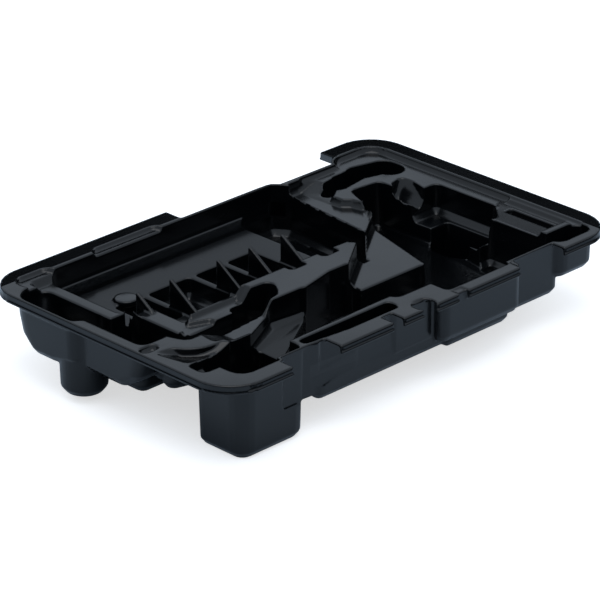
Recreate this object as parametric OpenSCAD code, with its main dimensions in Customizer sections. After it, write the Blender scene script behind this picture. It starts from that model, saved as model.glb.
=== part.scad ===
// Tool case insert: one thin black tray, formed from a single sheet, with deep pockets for a tool and its bits.
// The frame has x along the length, y from the front to the back and z up from the plane the feet stand on.

/* [Tray] */
// Length over the rim
tray_l = 400; // [380:1:440]
// Width over the rim
tray_w = 256; // [244:1:280]
// Radius of the rim's four corners
corner_r = 31; // [20:1:40]
// Height of the rim's top over the feet
tray_h = 67; // [62:1:80]
// Thickness of the sheet
wall = 2; // [1.4:0.1:2.6]
// Lean of the pocket walls, in degrees
draft = 1.3; // [0.8:0.1:2.5]
// Radius between a pocket's wall and its floor
floor_r = 5; // [2:0.5:7]

/* [Rim] */
// Drop of the skirt round the rim
skirt_h = 7; // [5:0.5:12]
// Thickness of the small lip under the skirt
lip_h = 1.4; // [1:0.1:2.5]
// How far that lip stands out
lip_out = 0.9; // [0.4:0.1:2]
// Width of the flat rim along the front
front_rim = 13; // [11:0.5:15]
// Width of the flat rim along the left side
left_rim = 10; // [8:0.5:12]
// Width of the flat rim along the back and the right side
far_rim = 15.5; // [13:0.5:18]
// Depth of the seat inside the far rim
seat_deep = 3.4; // [2:0.2:5]
// Width of that seat
seat_w = 3; // [2:0.5:5]
// Radius of the seat's corners
seat_r = 17; // [10:1:22]
// Where the gap in the back rim starts
gap_x = 180; // [170:1:190]
// Where the gap's deeper part starts
gap_step_x = 262; // [240:1:275]
// Where the gap ends
gap_end_x = 343; // [335:1:350]
// Depth of the gap's first part
gap_deep = 16; // [14:0.5:17]
// Extra depth of its second part
gap_more = 6.5; // [4:0.5:8]

/* [Front notches] */
// Where the wide thumb notch starts
thumb_x = 61; // [58:1:66]
// Width of the wide thumb notch
thumb_w = 46; // [38:1:50]
// Distance of the wall behind that notch from the front edge
thumb_in = 17.5; // [16:0.5:19]
// Depth of the scoop under the notch
scoop_deep = 40; // [30:1:46]
// Where the first slot starts
slot_x = 160; // [154:1:164]
// Width of the two slots
slot_w = 10; // [6:0.5:12]
// Centre of the round finger notch
finger_x = 197; // [194:1:200]
// Radius of the round finger notch
finger_r = 9; // [7:0.5:10]
// Where the second slot starts
slot_b_x = 227; // [224:1:232]
// Where the last notch starts
last_x = 292; // [290:1:296]
// Width of the last notch
last_w = 48; // [40:1:50]

/* [Left trough] */
// Width of the trough
trough_w = 26; // [22:1:30]
// Front end of the trough
trough_y = 97; // [94:1:104]
// Where the side rim ends and the trough reaches the edge
trough_step_y = 159; // [150:1:165]
// Depth of the trough
trough_deep = 38; // [30:1:42]
// Length of the curve in which the trough's floor rises at each end
trough_rise = 26; // [18:1:32]
// Radius of the trough's back left corner
trough_end_r = 16; // [13:0.5:16.5]
// Radius of the round foot under the trough
round_foot_r = 16.5; // [14:0.5:18]
// Centre of the round foot, from the front
round_foot_y = 170; // [160:1:180]
// Radius of the half-round pocket over that foot
tongue_r = 9; // [7:0.5:11]
// Width of the low ridge beside the trough
ridge_w = 10; // [7:0.5:14]
// Depth of that ridge's top under the rim
ridge_deep = 8.5; // [6:0.5:12]

/* [Cable channel] */
// Depth of the cable channel
cable_deep = 40; // [30:0.5:44]
// Width of the cable channel
cable_w = 24; // [20:0.5:26]
// Front wall of the channel's long arm
cable_y = 82; // [79:0.5:86]
// Depth of the lands beside the cable channel
low_deep = 10; // [7:0.5:12]
// Depth of the low bank along the channel
bank_deep = 13; // [11:0.5:15]
// Depth of the dish in the corner's land
dish_deep = 6; // [3:0.5:7]
// Radius of the bank round the dish
bank_r = 28; // [24:1:32]

/* [Accessory bay] */
// Depth of the bay's floor
bay_deep = 24; // [20:1:28]
// Where the middle land meets the bay
bay_y = 122; // [119:1:126]
// Right wall of the bay
bay_end_x = 258; // [255:1:262]
// Width of the deeper trench along that wall
trench_w = 22; // [16:1:26]
// Depth of the trench
trench_deep = 42; // [36:1:46]
// Number of cells in the bay's floor
cell_n = 4; // [3:1:4]
// First rib's place
rib_x = 68; // [66:0.5:71]
// Distance from rib to rib
rib_pitch = 32.5; // [30:0.5:33]
// How much wider the second cell is
cell_more = 14.5; // [8:0.5:15]
// Length of a cell
cell_l = 46; // [38:1:50]
// Depth of the cells under the bay's floor
cell_deep = 16; // [8:1:20]
// Thickness of the sloping ribs between the cells
rib_t = 3; // [2:0.2:4]
// Length of a rib's slope
rib_l = 32; // [26:1:38]
// Width of the notches in the middle land
tooth_w = 16; // [12:1:18]
// Depth of those notches from front to back
tooth_l = 7.5; // [5:0.5:9]
// Distance from notch to notch
tooth_pitch = 33.5; // [30:0.5:34]
// Left wall of the first notch
tooth_x = 172; // [168:1:174]
// Radius of the round boss on the floor
boss_r = 9; // [7:0.5:12]
// Height of the round boss
boss_h = 3; // [2:0.5:6]
// Depth of the two bit pockets under the rim
bit_deep = 58; // [50:1:62]

/* [Tool bay] */
// Depth of the tool bay's floor
tool_deep = 45; // [40:1:50]
// Left wall of the deep front box
box_x = 26; // [24:1:30]
// Front wall of the deep front box
box_y = 15.5; // [15:0.5:18]
// Length of the deep front box
box_l = 62; // [56:1:66]
// Width of the deep front box
box_w = 44; // [38:1:46]
// Radius of its two front corners
box_r = 11; // [8:0.5:12]
// Depth of the shelf beside the box
shelf_deep = 24; // [20:1:28]
// Front wall of the tool bay
tool_y = 34; // [32:0.5:36]
// Depth of the channel in front of the tool bay
front_deep = 36; // [30:0.5:38]
// Depth of the keel under that channel
keel_deep = 44; // [41:0.5:48]
// Depth of the plateau under the rim
plateau_deep = 19; // [15:0.5:22]
// Depth of the finger slot beside the box
finger_deep = 12; // [8:0.5:14]
// Side of the finger slot
finger_w = 17; // [14:0.5:20]

/* [Side ridge] */
// Left side of the ridge between the bay and the right bays
ridge_x = 277; // [274:1:280]
// Depth of that ridge's top
side_deep = 11; // [8:0.5:13]
// Depth of the curved divider at its far end
divider_deep = 5; // [3:0.5:7]

/* [Right bays] */
// Depth of the right bay's ledge
ledge_deep = 29; // [24:1:32]
// Left edge of that ledge
ledge_x = 337; // [333:1:340]
// Right wall of the right bay
right_x = 371; // [368:1:374]
// Length of the well in the ledge
well_l = 52; // [44:1:56]
// Width of the well
well_w = 22; // [18:0.5:24]
// Depth of the raised frame
frame_deep = 5; // [3:0.5:8]
// Width of the raised frame
frame_w = 30; // [26:1:32]
// Width of the slot in the frame
frame_slot_w = 8; // [5:0.5:10]
// Depth of that slot
frame_slot_deep = 12; // [8:0.5:16]
// Depth of the small corner pocket
corner_deep = 28; // [18:1:32]
// Radius of the curved pocket's ends
curved_r = 12; // [9:0.5:14]

/* [Hidden] */
over = 3;
lean = tan(draft);
foot_deep = tray_h - wall;
trough_x = left_rim;
trough_end_x = left_rim + trough_w;
bay_x = trough_end_x + ridge_w;
back_y = tray_w - far_rim - seat_w;
seat_x = tray_l - far_rim;
box_end_x = box_x + box_l;
box_end_y = box_y + box_w;
cable_end_x = trough_end_x + cable_w;
cable_end_y = cable_y + cable_w;
strip_x = 64;
strip_y = 114;
mid_x = 128;
front_land_x = 178;
body_x = 215;

// Facets for a circle of radius r
function facets(r) = r > 12 ? 28 : r > 6 ? 16 : 12;

// Place of the bay's rib number i
function rib_at(i) = rib_x + i * rib_pitch + (i > 1 ? cell_more : 0);

// A pocket with leaning walls and a rounded floor: circles at the given centres, wrapped together.
// A centre may bring its own depth and radius. grow = 0 gives the hollow and grow = wall the sheet round it.
module pocket(at, r, floor, grow, top = 0) {
    rise = grow > 0 ? 0 : over;
    hull()
        for (p = at) {
            low = len(p) > 2 ? p[2] : floor;
            rim = len(p) > 3 ? p[3] : r;
            bend = max(min(floor_r, (low - top) * 0.6), 0.4);
            foot = rim + grow - (low - top) * lean;
            translate([p[0], p[1], bend - low - grow])
                cylinder(h = low + grow - bend - top + rise, r1 = foot, r2 = rim + grow + rise * lean, $fn = facets(rim));
            translate([p[0], p[1], -low - grow])
                cylinder(h = bend, r1 = max(foot - bend * 0.8, 0.4), r2 = foot, $fn = facets(rim));
        }
}

// The four centres of a rectangle with corners of radius r
function corners(x0, x1, y0, y1, r) = [[x0 + r, y0 + r], [x1 - r, y0 + r], [x1 - r, y1 - r], [x0 + r, y1 - r]];

// A rectangular pocket from its walls' places at the top
module box_pocket(x0, x1, y0, y1, r, floor, grow, top = 0)
    pocket(corners(x0, x1, y0, y1, r), r, floor, grow, top);

// A hollow that runs on under the rim or a land, closed on top
module tunnel(x0, x1, y0, y1, r, floor, grow) {
    hull()
        for (p = corners(x0, x1, y0, y1, r)) {
            translate([p[0], p[1], floor_r - floor - grow])
                cylinder(h = floor - floor_r - wall + 1.5 * grow, r = r + grow, $fn = facets(r));
            translate([p[0], p[1], -floor - grow])
                cylinder(h = floor_r, r1 = r + grow - 3, r2 = r + grow, $fn = facets(r));
        }
}

// The trough with its floor rising in a curve at both ends, its round foot and the low ridge beside it
module trough(grow) {
    r = 7;
    end_y = back_y - 10;
    for (x0 = [trough_x, wall + 0.5]) {
        y0 = x0 == trough_x ? trough_y : trough_step_y;
        near = x0 == trough_x ? ridge_deep + 4 : trough_deep - 4;
        end_r = x0 == trough_x ? trough_w / 2 : trough_end_r;
        far_y = x0 == trough_x ? end_y : end_y - 1.5;
        pocket([
            for (x = [x0 + r, trough_end_x - r])
                for (s = [
                    [y0 + r, near],
                    [y0 + trough_rise * 0.5, trough_deep - 8],
                    [y0 + trough_rise, trough_deep],
                    [end_y - trough_rise, trough_deep]
                ])
                    [x, s[0], s[1], r],
            [trough_end_x - r, end_y - trough_rise * 0.6, trough_deep - 6],
            [trough_end_x - r, far_y - r, ridge_deep + 8],
            [x0 + end_r, far_y - end_r - 3, trough_deep - 8, end_r],
            [x0 + end_r, far_y - end_r, ridge_deep + 8, end_r]
        ], r, trough_deep, grow);
    }
    pocket([[trough_end_x - round_foot_r + 0.3, round_foot_y]], round_foot_r, foot_deep - 5, grow);
    pocket([[wall + 0.5 + tongue_r, round_foot_y + 18]], tongue_r, trough_deep - 16, grow);
    pocket([[trough_end_x - 4, trough_y + 48], [bay_x + 2, trough_y + 56], [bay_x + 2, back_y - 5],
        [trough_end_x - 4, back_y - 5]], 5, ridge_deep, grow);
}

// The cable channel: out of the trough, round its bend and along to the tool bay
module cable_channel(grow) {
    r = 8;
    near_x = trough_end_x + 5;
    far_x = cable_end_x - r;
    box_pocket(trough_end_x - 9, cable_end_x, trough_y + 20, trough_y + 62, r, cable_deep + 9, grow);
    box_pocket(trough_end_x - 6, cable_end_x, cable_y + 16, trough_y + 40, r, cable_deep - 6, grow);
    pocket([[near_x, cable_y + 17, cable_deep], [near_x + 3, cable_y + r, cable_deep - 14],
        [far_x, cable_y + 14, cable_deep]], r, cable_deep, grow);
    pocket([[near_x + 4, cable_y + r, cable_deep - 16], [near_x + 4, cable_end_y - r, cable_deep - 6],
        [mid_x + 4, cable_end_y - 6, cable_deep - 12], [mid_x - 4, cable_end_y - r, cable_deep - 12],
        [74, cable_y + 11, cable_deep - 14]], r, cable_deep, grow);
    pocket([[mid_x - 16, cable_end_y - 4, cable_deep - 8], [mid_x - 16, strip_y - 6, cable_deep - 8],
        [mid_x + 12, strip_y - 7, cable_deep - 10], [mid_x + 8, cable_end_y - 5, cable_deep - 10]], 6, cable_deep, grow);
}

// The lowered lands between the channel, the bay and the tool, the low bank, and the dish in the corner's land
module low_lands(grow) {
    pocket([[strip_x + 5, strip_y + 4, low_deep], [mid_x - 8, strip_y + 4, low_deep], [mid_x - 2, strip_y + 4, -1],
        [mid_x - 8, 98, low_deep], [mid_x - 2, 99, -1], [82, 78, low_deep]], 5, low_deep, grow);
    box_pocket(cable_end_x - 2, 80, strip_y - 8, strip_y + 14, 4, low_deep, grow);
    pocket([[cable_end_x, strip_y], [cable_end_x, 157], [bay_x + 31, 157], [bay_x + 31, bay_y + 4], [68, strip_y + 2]], 4, bank_deep, grow);
    pocket([[cable_end_x, strip_y - 6], [66, strip_y - 8], [87, strip_y - 8], [86, strip_y - 4], [66, strip_y + 4]], 4,
        bank_deep, grow);
    pocket([[52, 70, -1], [54, 86, -1], [76, 74, low_deep], [76, 86, low_deep], [96, 74, low_deep], [116, 84, low_deep],
        [116, 96, low_deep], [123, 88, -1], [123, 98, -1]], 5, low_deep, grow);
    difference() {
        pocket([[14, 56, -1], [9, 80, -1], [26, 74, dish_deep], [36, 62, dish_deep], [48, 58, dish_deep * 0.6],
            [56, 60, -1]], 4, dish_deep, grow);
        translate([48, 92, -dish_deep - 2 * wall])
            cylinder(h = dish_deep + 2 * wall + over, r = bank_r - grow, $fn = 36);
    }
    pocket([[7, trough_y - 6], [14, trough_y - 6]], 4, 4, grow);
}

// The accessory bay: floor, trench, cells, bit pockets and the notches in the land
module accessory_bay(grow) {
    box_pocket(bay_x, bay_end_x + 17, bay_y + 36, back_y, 8, bay_deep, grow);
    box_pocket(bay_x + 29, bay_end_x, bay_y, bay_y + 50, 5, bay_deep, grow);
    pocket([[bay_end_x - trench_w + 6, bay_y + 1], [bay_end_x - 9, bay_y], [ridge_x - 7, bay_y + 21], [ridge_x - 2, 223],
        [ridge_x - 8, back_y - 6], [bay_end_x - trench_w + 6, back_y - 6]], 6, trench_deep, grow);
    for (i = [0 : cell_n - 1])
        box_pocket(rib_at(i) + rib_t + 1, rib_at(i + 1) - 1, bay_y + 28, bay_y + 28 + cell_l, 4, bay_deep + cell_deep, grow,
            bay_deep - floor_r);
    for (i = [0 : 2])
        box_pocket(tooth_x + i * tooth_pitch, tooth_x + i * tooth_pitch + tooth_w, bay_y - tooth_l, bay_y + 12, 3,
            bay_deep, grow);
    for (i = [0 : 1])
        pocket([[rib_at(i) + 16, bay_y + 42]], 9, bit_deep - 6 * i, grow, bay_deep + cell_deep - floor_r);
}

// The tool bay: deep box, finger slot, shelf, body, and the plateau
module tool_bay(grow) {
    pocket([[box_x + box_r, box_y + box_r, foot_deep, box_r], [box_end_x - box_r, box_y + box_r, foot_deep, box_r],
        [box_end_x - 5, box_end_y - 5, foot_deep, 5], [box_x + 5, box_end_y - 5, foot_deep, 5]], 5, foot_deep, grow);
    box_pocket(box_x - 15, box_x + 12, box_end_y - finger_w - 6, box_end_y - 6, 5, finger_deep, grow);
    pocket([[64, 50], [64, 66], [90, 66], [90, 40]], 6, tool_deep, grow);
    pocket([[96, 38, shelf_deep], [90, 66, shelf_deep], [124, 82, shelf_deep - 2], [154, 82, shelf_deep],
        [148, 66, shelf_deep], [120, 42, shelf_deep]], 6, shelf_deep, grow);
    pocket([[90, tool_y + 4], [112, tool_y + 6], [206, tool_y + 6], [206, 88], [190, 88], [160, 81], [134, 62],
        [112, 46]], 6, tool_deep, grow);
    box_pocket(190, 279, tool_y - 6, 83, 6, tool_deep, grow);
    box_pocket(body_x + 11, last_x, 11, 60, 4, tool_deep, grow);
    box_pocket(last_x - 20, 350, front_rim + wall, 83, 6, tool_deep - 3, grow);
    pocket([[212, 88], [224, 92], [267, 109.5], [299, 144], [299, 150], [286, 76], [212, 76]], 6, plateau_deep, grow);
}

// The front's outer shell: the channel in front of the tool with its keel, and the hollows under the rim
module front_shell(grow) {
    pocket([[96, thumb_in + wall + 4.5, front_deep - 14], [104, thumb_in + wall + 4.5, front_deep],
        [132, front_rim + wall + 5.5, front_deep], [front_land_x, front_rim + wall + 5.5, front_deep],
        [front_land_x, tool_y - 10, front_deep], [112, tool_y - 10, front_deep]], 4, front_deep, grow);
    tunnel(front_land_x - 8, body_x + 8, front_rim + wall, tool_y - 6, 5, front_deep, grow);
    tunnel(body_x, last_x + 4, 5, tool_y - 6, 5, front_deep - 1, grow);
    box_pocket(100, 282, front_rim + wall + 0.5, tool_y - 6, 5, keel_deep, grow, front_deep - floor_r);
}

// The scoop that the thumb reaches into: a keep-out in front of the shell
module scoop(grow) {
    intersection() {
        translate([0, 30, 0])
            rotate([90, 0, 0])
                linear_extrude(40)
                    offset(delta = grow)
                        polygon([[thumb_x + 4, over], [thumb_x + 4, -scoop_deep], [86, -scoop_deep],
                            [118, 9 - scoop_deep], [130, 16 - scoop_deep], [137, 24 - scoop_deep], [137, over]]);
        translate([0, 0, -foot_deep])
            linear_extrude(foot_deep + over)
                offset(delta = grow)
                    polygon([[thumb_x, -over], [thumb_x, thumb_in], [90, thumb_in], [137, front_rim], [137, -over]]);
    }
}

// The ridge beside the bay, lowered, with its tongue, and the slope up to the middle land
module side_ridge(grow) {
    r = 3;
    pocket([[258.5, 116, -1], [263, 114, -1], [ridge_x, 138, side_deep], [298, 150, side_deep]], 2, side_deep, grow);
    pocket([[ridge_x - 1, 139], [297, 151], [294, 188], [292, 226], [ridge_x + 6, 226]], r, side_deep, grow);
    pocket([[292, 157], [298, 160], [303, 169], [300, 180], [294, 186]], r, side_deep, grow);
    pocket([[292, 196, side_deep], [290, 226, side_deep], [300, 224, 8], [310, 226, 5], [306, 204, 8]], r, side_deep, grow);
}

// The right side: bay with its ledge and well, raised frame with its slot, corner pocket
module right_bays(grow) {
    pocket([[284, 66], [284, 82], [302, 148], [315, 169], [318, 188], [337, 186], [340, 120], [330, 66]], 6, tool_deep, grow);
    pocket([[316, 88], [354, 87], [right_x - 6, 99], [right_x - 6, 152], [316, 152]], 6, ledge_deep, grow);
    box_pocket(ledge_x + 4, ledge_x + 4 + well_w, 86, 86 + well_l, 4, foot_deep, grow, ledge_deep - floor_r);
    pocket([[352, 156, ledge_deep - 8], [341, 158, 12], [350, 178, ledge_deep - 8], [344, 172, 8], [358, 180, 4]], 5, ledge_deep, grow);
    pocket([[seat_x - frame_w - 6, 36], [seat_x - 6, 36], [seat_x - 6, 96], [seat_x - frame_w - 4, 86]], 3, frame_deep, grow);
    box_pocket(seat_x - 10 - frame_slot_w, seat_x - 10, 37, 84, 2, frame_slot_deep, grow);
    box_pocket(343, seat_x - 2, 9, 27, 9, corner_deep, grow);
}

// The curved pocket in the far right corner, with a foot at its middle
module curved_pocket(grow) {
    pocket([[314, 210, tool_deep - 10], [346, 215, tool_deep]], curved_r - 2, tool_deep, grow);
    pocket([[346, 214], [366, 209]], curved_r, tool_deep, grow);
    pocket([[366, 209], [366, 203]], curved_r, tool_deep, grow);
    box_pocket(318, 356, 204, 223, 8, foot_deep, grow);
    pocket([[304, 208, side_deep + 4], [314, 210, tool_deep - 12]], 6, tool_deep, grow);
}

// The seat: a shallow step inside the rim, along the back and the right side
module seat(grow) {
    box_pocket(17, 53, back_y - 12, tray_w - far_rim, 9, seat_deep, grow);
    box_pocket(90, gap_x - 20, back_y - 12, tray_w - far_rim, 9, seat_deep, grow);
    box_pocket(gap_end_x - 10, seat_x, 150, tray_w - far_rim, seat_r, divider_deep, grow);
    box_pocket(right_x - 4, seat_x, 92, 200, 3, divider_deep, grow);
    box_pocket(right_x + 6, seat_x, 20, 100, 3, seat_deep * 0.6, grow);
    box_pocket(ridge_x + 15, gap_end_x + 6, 171, tray_w - gap_deep - gap_more - 2.5, 6, divider_deep, grow);
    pocket([[340, 176], [364, 164], [372, 206], [380, 200], [340, 190]], 4, divider_deep, grow);
}

// All the hollows over the sheet, or the sheet's outside under them
module hollows(grow) {
    trough(grow);
    cable_channel(grow);
    low_lands(grow);
    accessory_bay(grow);
    difference() {
        union() {
            tool_bay(grow);
            front_shell(grow);
        }
        scoop(wall - grow);
    }
    side_ridge(grow);
    right_bays(grow);
    curved_pocket(grow);
    seat(grow);
}

// The rim's outline, with the gap along the back
module rim_outline(out = 0) {
    difference() {
        translate([corner_r, corner_r])
            offset(r = corner_r + out)
                square([tray_l - 2 * corner_r, tray_w - 2 * corner_r]);
        translate([gap_x, tray_w - gap_deep])
            square([gap_end_x - gap_x, gap_deep + over]);
        translate([gap_step_x, tray_w - gap_deep - gap_more])
            square([gap_end_x - gap_step_x, gap_deep]);
    }
}

// The flat rim with its skirt and lip
module rim() {
    difference() {
        union() {
            translate([0, 0, lip_h / 2 - skirt_h])
                linear_extrude(skirt_h - lip_h / 2)
                    rim_outline();
            translate([0, 0, -skirt_h])
                linear_extrude(lip_h)
                    rim_outline(lip_out);
        }
        translate([0, 0, -skirt_h - over])
            linear_extrude(skirt_h - wall + over)
                offset(delta = -wall)
                    rim_outline();
    }
}

// The notches cut through the rim's front
module front_notches() {
    h = skirt_h + 2 * over;
    for (n = [[thumb_x, thumb_w, thumb_in], [slot_x, slot_w, front_rim], [slot_b_x, slot_w, front_rim],
        [last_x, last_w, front_rim]])
        translate([n[0], -over, -skirt_h - over])
            cube([n[1], n[2] + over, h]);
    translate([finger_x, front_rim / 2, -skirt_h - over])
        cylinder(h = h, r = finger_r);
}

// One sloping rib, standing on the bay's floor
module rib(x) {
    hull() {
        translate([x, bay_y + 12 + rib_l, -bay_deep - wall])
            cube([rib_t, 2, bay_deep + wall - 2]);
        translate([x, bay_y + 12, -bay_deep - wall])
            cube([rib_t, 2, 3]);
    }
}

// What stands inside the pockets: the ribs and the round boss
module inside() {
    for (i = [0 : cell_n])
        rib(rib_at(i));
    translate([rib_x + 18, bay_y + 76, -bay_deep - wall])
        cylinder(h = boss_h + wall, r = boss_r);
}

module insert_tray() {
    color([0.09, 0.095, 0.1])
        translate([-tray_l / 2, -tray_w / 2, tray_h])
            difference() {
                union() {
                    difference() {
                        rim();
                        front_notches();
                    }
                    hollows(wall);
                }
                difference() {
                    hollows(0);
                    inside();
                }
            }
}

insert_tray();
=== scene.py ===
import math

import bmesh
import bpy
from mathutils import Matrix


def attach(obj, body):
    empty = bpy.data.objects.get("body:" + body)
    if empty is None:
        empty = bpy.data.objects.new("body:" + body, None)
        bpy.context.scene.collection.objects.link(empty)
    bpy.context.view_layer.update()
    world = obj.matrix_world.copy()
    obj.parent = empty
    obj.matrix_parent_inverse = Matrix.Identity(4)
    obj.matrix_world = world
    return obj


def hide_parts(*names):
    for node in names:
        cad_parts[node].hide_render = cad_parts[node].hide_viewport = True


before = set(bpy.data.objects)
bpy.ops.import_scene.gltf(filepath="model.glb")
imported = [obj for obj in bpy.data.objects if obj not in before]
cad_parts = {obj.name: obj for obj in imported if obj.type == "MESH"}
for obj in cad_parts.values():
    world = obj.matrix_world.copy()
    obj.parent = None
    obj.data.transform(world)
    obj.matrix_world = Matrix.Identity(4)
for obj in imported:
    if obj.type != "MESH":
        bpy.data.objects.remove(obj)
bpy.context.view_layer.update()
scene = bpy.context.scene
scene.view_settings.view_transform = "Standard"
print("frame loaded")

# the view, measured on the picture: place in metres, angles in degrees
cameraView = {
    "place": (-1.63374, -1.63766, 1.10600),
    "azimuth": 45.176,
    "down": 24.964,
    "roll": -0.1201,
    "lens": 208.727,
    "sensor": 36.0,
    "clipEnd": 50,
}


def addCamera(view):
    data = bpy.data.cameras.new("camera")
    data.lens = view["lens"]
    data.sensor_width = view["sensor"]
    data.clip_end = view["clipEnd"]
    cam = bpy.data.objects.new("camera", data)
    turn = Matrix.Rotation(math.radians(view["azimuth"] - 90), 4, "Z")
    tilt = Matrix.Rotation(math.radians(90 - view["down"]), 4, "X")
    roll = Matrix.Rotation(math.radians(view["roll"]), 4, "Z")
    cam.matrix_world = Matrix.Translation(view["place"]) @ turn @ tilt @ roll
    scene.collection.objects.link(cam)
    scene.camera = cam


addCamera(cameraView)
print("camera placed")

# black formed sheet: half gloss, with a fine grain and a few faint scuffs.
# A lean turns the sheen of one zone, to the part of the sky that it shows in the picture.
# Its zone is (from, to) for x, y and z, and its push is added to the normal there.
blackSheet = {
    "colour": (0.0006, 0.0009, 0.0013, 1),
    "paleColour": (0.0014, 0.0020, 0.0028, 1),
    "refraction": 1.42,
    "clouds": {"Scale": 9, "Detail": 4.0},
    "cloudSpan": (0.35, 0.65),
    "gloss": (0.15, 0.22),
    "scuffs": {"Scale": 60, "Detail": 6.0, "Roughness": 0.7},
    "scuffStretch": (1, 6, 3),
    "scuffSpan": (0.62, 0.74),
    "scuffGloss": (0, 0.10),
    "grain": {"Scale": 1900, "Detail": 2.0},
    "grainDepth": 0.00001,
    "ripple": {"Scale": 34, "Detail": 1.0},
    "rippleDepth": 0.00012,
    "leanEdge": 0.0008,
    "leans": {
        "right flange": (((0.1848, 0.21), (-0.2, 0.2), (0.06, 0.07)), (0.34, 0.0, 0.0)),
        "back flange": (((-0.3, 0.3), (0.1128, 0.2), (0.06, 0.07)), (0.0, 0.34, 0.0)),
        "bay floor": (((-0.16, 0.1), (-0.01, 0.12), (0.041, 0.0445)), (-0.13, -0.13, 0.0)),
        "shelf": (((-0.115, -0.045), (-0.105, -0.035), (0.0415, 0.0448)), (-0.16, -0.16, 0.0)),
        "raised frame": (((0.15, 0.186), (-0.1, -0.03), (0.061, 0.063)), (0.05, 0.05, 0.0)),
        "right bay floor": (((0.07, 0.15), (-0.11, 0.07), (0.020, 0.0255)), (0.30, 0.30, 0.0)),
        "bay back curve": (((-0.16, 0.08), (0.1005, 0.111), (0.0415, 0.052)), (0.0, 0.80, 0.0)),
        "front skirt": (((-0.3, 0.3), (-0.14, -0.1265), (0.056, 0.066)), (0.0, 0.0, 0.22)),
        "front wall": (((-0.106, -0.064), (-0.118, -0.108), (0.026, 0.041)), (0.0, -2.0, 0.0)),
        "front wall top": (((-0.106, -0.064), (-0.118, -0.1085), (0.0418, 0.0495)), (0.0, -4.0, -0.5)),
        "box step": (((-0.140, -0.107), (-0.116, -0.109), (0.0255, 0.0295)), (0.0, -2.0, 0.0)),
    },
    "farCorner": {"middle": (0.1678, 0.0958), "radius": 0.0168, "level": 0.06, "push": (0.24, 0.24, 0.0)},
}


def link(tree, start, end):
    tree.links.new(start, end)


def addNode(tree, kind, **values):
    node = tree.nodes.new(kind)
    for name, value in values.items():
        if name in node.inputs:
            node.inputs[name].default_value = value
        else:
            setattr(node, name, value)
    return node


def mapRange(tree, source, low, high, outLow, outHigh):
    node = addNode(tree, "ShaderNodeMapRange")
    for name, value in (("From Min", low), ("From Max", high), ("To Min", outLow), ("To Max", outHigh)):
        node.inputs[name].default_value = value
    link(tree, source, node.inputs["Value"])
    return node.outputs["Result"]


def product(tree, parts):
    total = parts[0]
    for part in parts[1:]:
        both = addNode(tree, "ShaderNodeMath", operation="MULTIPLY")
        link(tree, total, both.inputs[0])
        link(tree, part, both.inputs[1])
        total = both.outputs[0]
    return total


def zoneShare(tree, place, zone, edge):
    split = addNode(tree, "ShaderNodeSeparateXYZ")
    link(tree, place, split.inputs[0])
    parts = []
    for axis, (low, high) in zip("XYZ", zone):
        for start, end in ((low - edge, low), (high + edge, high)):
            parts.append(mapRange(tree, split.outputs[axis], start, end, 0, 1))
    return product(tree, parts)


def cornerShare(tree, place, corner, edge):
    # the rim outside its round far corner
    split = addNode(tree, "ShaderNodeSeparateXYZ")
    link(tree, place, split.inputs[0])
    flat = addNode(tree, "ShaderNodeCombineXYZ")
    for axis in "XY":
        link(tree, split.outputs[axis], flat.inputs[axis])
    span = addNode(tree, "ShaderNodeVectorMath", operation="DISTANCE")
    link(tree, flat.outputs[0], span.inputs[0])
    span.inputs[1].default_value = (*corner["middle"], 0)
    parts = [mapRange(tree, span.outputs["Value"], corner["radius"] - edge, corner["radius"], 0, 1)]
    for axis, low in zip("XYZ", (*corner["middle"], corner["level"])):
        parts.append(mapRange(tree, split.outputs[axis], low - edge, low, 0, 1))
    return product(tree, parts)


def addLean(tree, normal, share, push):
    lean = addNode(tree, "ShaderNodeVectorMath", operation="SCALE")
    lean.inputs[0].default_value = push
    link(tree, share, lean.inputs["Scale"])
    total = addNode(tree, "ShaderNodeVectorMath", operation="ADD")
    link(tree, normal, total.inputs[0])
    link(tree, lean.outputs[0], total.inputs[1])
    unit = addNode(tree, "ShaderNodeVectorMath", operation="NORMALIZE")
    link(tree, total.outputs[0], unit.inputs[0])
    return unit.outputs[0]


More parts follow.
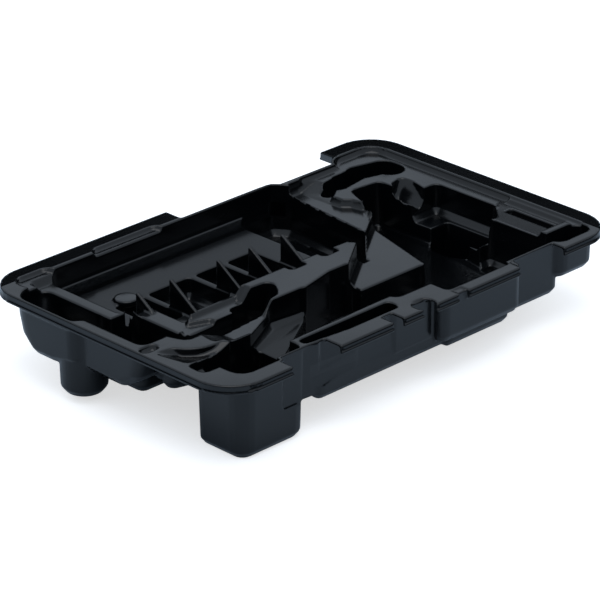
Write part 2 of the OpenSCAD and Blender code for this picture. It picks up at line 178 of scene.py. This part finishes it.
def makeBlackSheet(finish):
    mat = bpy.data.materials.new("black_sheet")
    mat.use_nodes = True
    tree = mat.node_tree
    shader = tree.nodes["Principled BSDF"]
    place = addNode(tree, "ShaderNodeTexCoord").outputs["Object"]
    clouds = addNode(tree, "ShaderNodeTexNoise", **finish["clouds"])
    grain = addNode(tree, "ShaderNodeTexNoise", **finish["grain"])
    ripple = addNode(tree, "ShaderNodeTexNoise", **finish["ripple"])
    scuffs = addNode(tree, "ShaderNodeTexNoise", **finish["scuffs"])
    stretch = addNode(tree, "ShaderNodeMapping", Scale=finish["scuffStretch"])
    link(tree, place, stretch.inputs["Vector"])
    link(tree, stretch.outputs["Vector"], scuffs.inputs["Vector"])
    for node in (clouds, grain, ripple):
        link(tree, place, node.inputs["Vector"])
    tint = addNode(tree, "ShaderNodeMix", data_type="RGBA")
    tint.inputs[6].default_value = finish["colour"]
    tint.inputs[7].default_value = finish["paleColour"]
    link(tree, clouds.outputs["Fac"], tint.inputs[0])
    link(tree, tint.outputs[2], shader.inputs["Base Color"])
    sheen = mapRange(tree, clouds.outputs["Fac"], *finish["cloudSpan"], *finish["gloss"])
    worn = mapRange(tree, scuffs.outputs["Fac"], *finish["scuffSpan"], *finish["scuffGloss"])
    rough = addNode(tree, "ShaderNodeMath", operation="ADD")
    link(tree, sheen, rough.inputs[0])
    link(tree, worn, rough.inputs[1])
    link(tree, rough.outputs[0], shader.inputs["Roughness"])
    shader.inputs["IOR"].default_value = finish["refraction"]
    fine = addNode(tree, "ShaderNodeBump", Distance=finish["grainDepth"], Strength=1.0)
    wide = addNode(tree, "ShaderNodeBump", Distance=finish["rippleDepth"], Strength=1.0)
    link(tree, grain.outputs["Fac"], fine.inputs["Height"])
    link(tree, ripple.outputs["Fac"], wide.inputs["Height"])
    link(tree, wide.outputs["Normal"], fine.inputs["Normal"])
    normal = fine.outputs["Normal"]
    for zone, push in finish["leans"].values():
        normal = addLean(tree, normal, zoneShare(tree, place, zone, finish["leanEdge"]), push)
    corner = finish["farCorner"]
    normal = addLean(tree, normal, cornerShare(tree, place, corner, finish["leanEdge"]), corner["push"])
    link(tree, normal, shader.inputs["Normal"])
    return mat


# the tray: the solid's own shape, with the soft edges that a heated sheet takes.
# A fill is a bar along the front wall, from one x to the next with a (y, z) section at both.
formedSheet = {
    "weld": 1e-6,
    "fills": {
        "deep box to front shell": (
            (-0.115, ((-0.1100, 0.0655), (-0.1100, 0.026), (-0.1080, 0.026), (-0.1080, 0.0655))),
            (-0.098, ((-0.1113, 0.0655), (-0.1113, 0.026), (-0.1093, 0.026), (-0.1093, 0.0655))),
        ),
        "front channel": (
            (-0.066, ((-0.1134, 0.064), (-0.1143, 0.0345), (-0.1125, 0.0345), (-0.1120, 0.064))),
            (-0.020, ((-0.1134, 0.064), (-0.1143, 0.0345), (-0.1125, 0.0345), (-0.1120, 0.064))),
        ),
        "scoop": (
            (-0.102, ((-0.1111, 0.043), (-0.1111, 0.025), (-0.1094, 0.025), (-0.1094, 0.043))),
            (-0.064, ((-0.1144, 0.049), (-0.1144, 0.029), (-0.1126, 0.029), (-0.1126, 0.049))),
        ),
    },
    "voxel": 0.00095,
    "relax": 0.5,
    "relaxSteps": 3,
    "keep": 0.16,
}


def addFill(bm, ends):
    faces = []
    for x, section in ends:
        corners = [bm.verts.new((x, y, z)) for y, z in section]
        faces += bmesh.ops.contextual_create(bm, geom=corners)["faces"]
    edges = [edge for lid in faces for edge in lid.edges]
    faces += bmesh.ops.bridge_loops(bm, edges=edges)["faces"]
    bmesh.ops.recalc_face_normals(bm, faces=faces)


def makeFormedSheet(values, mat):
    mesh = bpy.data.meshes.new("formed_sheet")
    bm = bmesh.new()
    bm.from_mesh(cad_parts["insert_tray"].data)
    bmesh.ops.remove_doubles(bm, verts=bm.verts, dist=values["weld"])
    for ends in values["fills"].values():
        addFill(bm, ends)
    bm.to_mesh(mesh)
    bm.free()
    mesh.materials.clear()
    mesh.materials.append(mat)
    tray = bpy.data.objects.new("formed_sheet", mesh)
    scene.collection.objects.link(tray)
    remesh = tray.modifiers.new("even skin", "REMESH")
    remesh.mode = "VOXEL"
    remesh.voxel_size = values["voxel"]
    remesh.use_smooth_shade = True
    relax = tray.modifiers.new("soft edges", "SMOOTH")
    relax.factor = values["relax"]
    relax.iterations = values["relaxSteps"]
    thin = tray.modifiers.new("fewer faces", "DECIMATE")
    thin.ratio = values["keep"]
    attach(tray, "root")
    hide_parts("insert_tray")
    return tray


makeFormedSheet(formedSheet, makeBlackSheet(blackSheet))
print("tray formed")

# the room: a white floor that keeps the shadow, and a pale sky that darkens towards the horizon.
# The camera sees the floor glow and the sky in the seen colour.
studio = {
    "floorHalf": 6.0,
    "floorColour": (0.8, 0.8, 0.8, 1),
    "floorSheen": (0.64, 0.73, 0.82, 1),
    "floorGlow": 0.62,
    "skyColour": (0.69, 0.78, 0.89, 1),
    "horizonColour": (0.01, 0.011, 0.012, 1),
    "horizon": (0.25, 0.36),
    "seenColour": (1, 1, 1, 1),
}


def addFloor(values):
    bm = bmesh.new()
    bmesh.ops.create_grid(bm, x_segments=1, y_segments=1, size=values["floorHalf"])
    mesh = bpy.data.meshes.new("floor")
    bm.to_mesh(mesh)
    bm.free()
    floor = bpy.data.objects.new("floor", mesh)
    scene.collection.objects.link(floor)
    mat = bpy.data.materials.new("floor_paper")
    mat.use_nodes = True
    tree = mat.node_tree
    tree.nodes.remove(tree.nodes["Principled BSDF"])
    matte = addNode(tree, "ShaderNodeBsdfDiffuse")
    glow = addNode(tree, "ShaderNodeEmission")
    seen = addNode(tree, "ShaderNodeLightPath").outputs["Is Camera Ray"]
    level = addNode(tree, "ShaderNodeMath", operation="MULTIPLY")
    level.inputs[1].default_value = values["floorGlow"]
    shade = addNode(tree, "ShaderNodeMix", data_type="RGBA")
    shade.inputs[6].default_value = values["floorSheen"]
    shade.inputs[7].default_value = values["floorColour"]
    link(tree, seen, shade.inputs[0])
    link(tree, shade.outputs[2], matte.inputs["Color"])
    both = addNode(tree, "ShaderNodeAddShader")
    link(tree, seen, level.inputs[0])
    link(tree, level.outputs[0], glow.inputs["Strength"])
    link(tree, matte.outputs[0], both.inputs[0])
    link(tree, glow.outputs[0], both.inputs[1])
    link(tree, both.outputs[0], tree.nodes["Material Output"].inputs["Surface"])
    mesh.materials.append(mat)


def addSky(values):
    world = bpy.data.worlds.new("sky")
    scene.world = world
    world.use_nodes = True
    tree = world.node_tree
    back = tree.nodes["Background"]
    direction = addNode(tree, "ShaderNodeTexCoord").outputs["Generated"]
    split = addNode(tree, "ShaderNodeSeparateXYZ")
    link(tree, direction, split.inputs[0])
    height = mapRange(tree, split.outputs["Z"], *values["horizon"], 0, 1)
    shade = addNode(tree, "ShaderNodeMix", data_type="RGBA")
    shade.inputs[6].default_value = values["horizonColour"]
    shade.inputs[7].default_value = values["skyColour"]
    link(tree, height, shade.inputs[0])
    white = addNode(tree, "ShaderNodeMix", data_type="RGBA")
    white.inputs[7].default_value = values["seenColour"]
    link(tree, addNode(tree, "ShaderNodeLightPath").outputs["Is Camera Ray"], white.inputs[0])
    link(tree, shade.outputs[2], white.inputs[6])
    link(tree, white.outputs[2], back.inputs["Color"])


lamps = {
    "overhead": {"place": (-0.3, -0.3, 2.4), "size": 1.8, "watts": 16},
}


def addLamp(name, values):
    data = bpy.data.lights.new(name, "AREA")
    data.size = values["size"]
    data.energy = values["watts"]
    lamp = bpy.data.objects.new(name, data)
    lamp.location = values["place"]
    scene.collection.objects.link(lamp)


addFloor(studio)
addSky(studio)
for name, values in lamps.items():
    addLamp(name, values)
print("studio lit")
